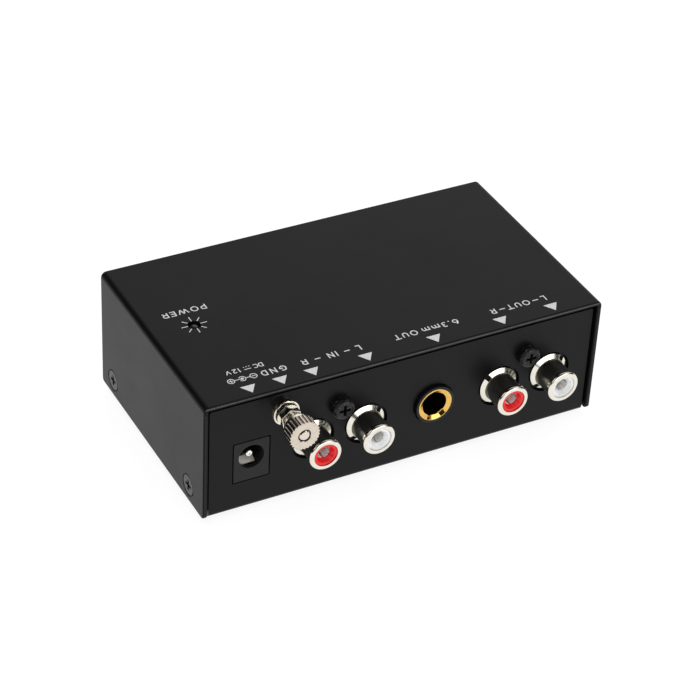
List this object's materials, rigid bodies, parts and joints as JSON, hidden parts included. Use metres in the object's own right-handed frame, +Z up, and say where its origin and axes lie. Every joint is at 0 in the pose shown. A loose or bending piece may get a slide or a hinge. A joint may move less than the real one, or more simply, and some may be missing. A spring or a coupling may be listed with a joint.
{
  "type": "phono preamp",
  "caption": "Small black steel-cased phono preamplifier with RCA sockets, a phone socket, an earth terminal with a thumb nut and a DC inlet on one panel.",
  "frame": {"origin": "bottom centre of the whole object, sockets and earth terminal included, on the surface that the feet stand on", "axes": "+X along the case's width, +Y out of the socket panel, +Z up"},
  "size_m": [0.105, 0.0698, 0.0343],
  "materials": {
    "case_coat": "fine satin powder coat",
    "blackened_steel": "blackened screws, semi-matt",
    "foot_rubber": "matt",
    "nickel_shell": "bright nickel plate",
    "red_insulator": "semi-gloss",
    "white_insulator": "semi-gloss",
    "contact_metal": "tinned spring brass",
    "socket_moulding": "matt moulding",
    "gold_plate": "bright gold plate",
    "spring_metal": "bright strip",
    "inlet_moulding": "matt moulding",
    "inlet_pin_metal": "polished nickel",
    "earth_nickel": "turned and nickel plated",
    "washer_steel": "zinc plated",
    "lead_insulation": "green wire insulation",
    "lamp_lens": "smoked clear lens",
    "lead_tin": "tinned wire",
    "spacer_plastic": "natural nylon",
    "board_laminate": "green solder mask",
    "standoff_steel": "zinc plated",
    "screw_zinc": "zinc plated",
    "chip_epoxy": "matt epoxy",
    "film_case": "glossy box",
    "can_sleeve": "shrunk sleeve",
    "ceramic_coat": "dipped coat",
    "resistor_lacquer": "lacquer",
    "diode_epoxy": "matt epoxy",
    "choke_ferrite": "ferrite and lacquered wire",
    "regulator_case": "matt epoxy on a metal tab"
  },
  "bodies": {
    "base": {"top_cover": "case_coat", "chassis": "case_coat", "cover_screws": "blackened_steel", "rubber_feet": "foot_rubber", "socket_screws": "blackened_steel", "input_socket_block": "socket_moulding", "output_socket_block": "socket_moulding", "phone_socket_body": "socket_moulding", "phone_socket_bushing": "gold_plate", "dc_inlet_body": "inlet_moulding", "dc_inlet_pin": "inlet_pin_metal", "dc_inlet_side_contact": "spring_metal", "earth_post": "earth_nickel", "earth_star_washer": "washer_steel", "earth_solder_lug": "washer_steel", "earth_lock_nut": "earth_nickel", "earth_lead": "lead_insulation", "power_lamp": "lamp_lens", "power_lamp_leads": "lead_tin", "power_lamp_spacer": "spacer_plastic", "circuit_board": "board_laminate", "board_standoffs": "standoff_steel", "board_screws": "screw_zinc", "phono_amplifier_chip": "chip_epoxy", "output_amplifier_chip": "chip_epoxy", "chip_leads": "lead_tin", "film_capacitors": "film_case", "reservoir_capacitors": "can_sleeve", "coupling_capacitors": "can_sleeve", "ceramic_capacitors": "ceramic_coat", "resistors": "resistor_lacquer", "polarity_diode": "diode_epoxy", "filter_choke": "choke_ferrite", "voltage_regulator": "regulator_case", "input_left_barrel": "nickel_shell", "input_left_insulator": "white_insulator", "input_left_contact": "contact_metal", "input_right_barrel": "nickel_shell", "input_right_insulator": "red_insulator", "input_right_contact": "contact_metal", "output_left_barrel": "nickel_shell", "output_left_insulator": "white_insulator", "output_left_contact": "contact_metal", "output_right_barrel": "nickel_shell", "output_right_insulator": "red_insulator", "output_right_contact": "contact_metal"},
    "clamp_collar": {"earth_clamp_collar": "earth_nickel"},
    "thumb_nut": {"earth_thumb_nut": "earth_nickel"},
    "inlet_leaf": {"dc_inlet_spring": "spring_metal"},
    "tip_leaf": {"phone_tip_spring": "spring_metal"},
    "ring_leaf": {"phone_ring_spring": "spring_metal"}
  },
  "joints": [
    {"name": "clamp_collar_travel", "type": "slide", "parent": "base", "child": "clamp_collar", "axis": [0, 1, 0], "range_m": [-0.0019, 0.0025]},
    {"name": "thumb_nut_turn", "type": "hinge", "parent": "clamp_collar", "child": "thumb_nut", "pos_m": [0.0322, 0.03333, 0.0276], "axis": [0, 1, 0], "range_deg": [-1376, 1808]},
    {"name": "inlet_leaf_flex", "type": "hinge", "parent": "base", "child": "inlet_leaf", "pos_m": [0.04, 0.01468, 0.009], "axis": [-1, 0, 0], "range_deg": [0, 10], "stiffness_Nm_per_rad": 0.02},
    {"name": "tip_leaf_flex", "type": "hinge", "parent": "base", "child": "tip_leaf", "pos_m": [-0.0131, -0.00217, 0.009], "axis": [0, -1, 0], "range_deg": [0, 6], "stiffness_Nm_per_rad": 0.02},
    {"name": "ring_leaf_flex", "type": "hinge", "parent": "base", "child": "ring_leaf", "pos_m": [-0.00235, 0.00532, 0.009], "axis": [0, 1, 0], "range_deg": [0, 6], "stiffness_Nm_per_rad": 0.02}
  ],
  "couplings": [
    {"joint": "thumb_nut_turn", "follows": "clamp_collar_travel", "rad_per_m": 12566}
  ]
}
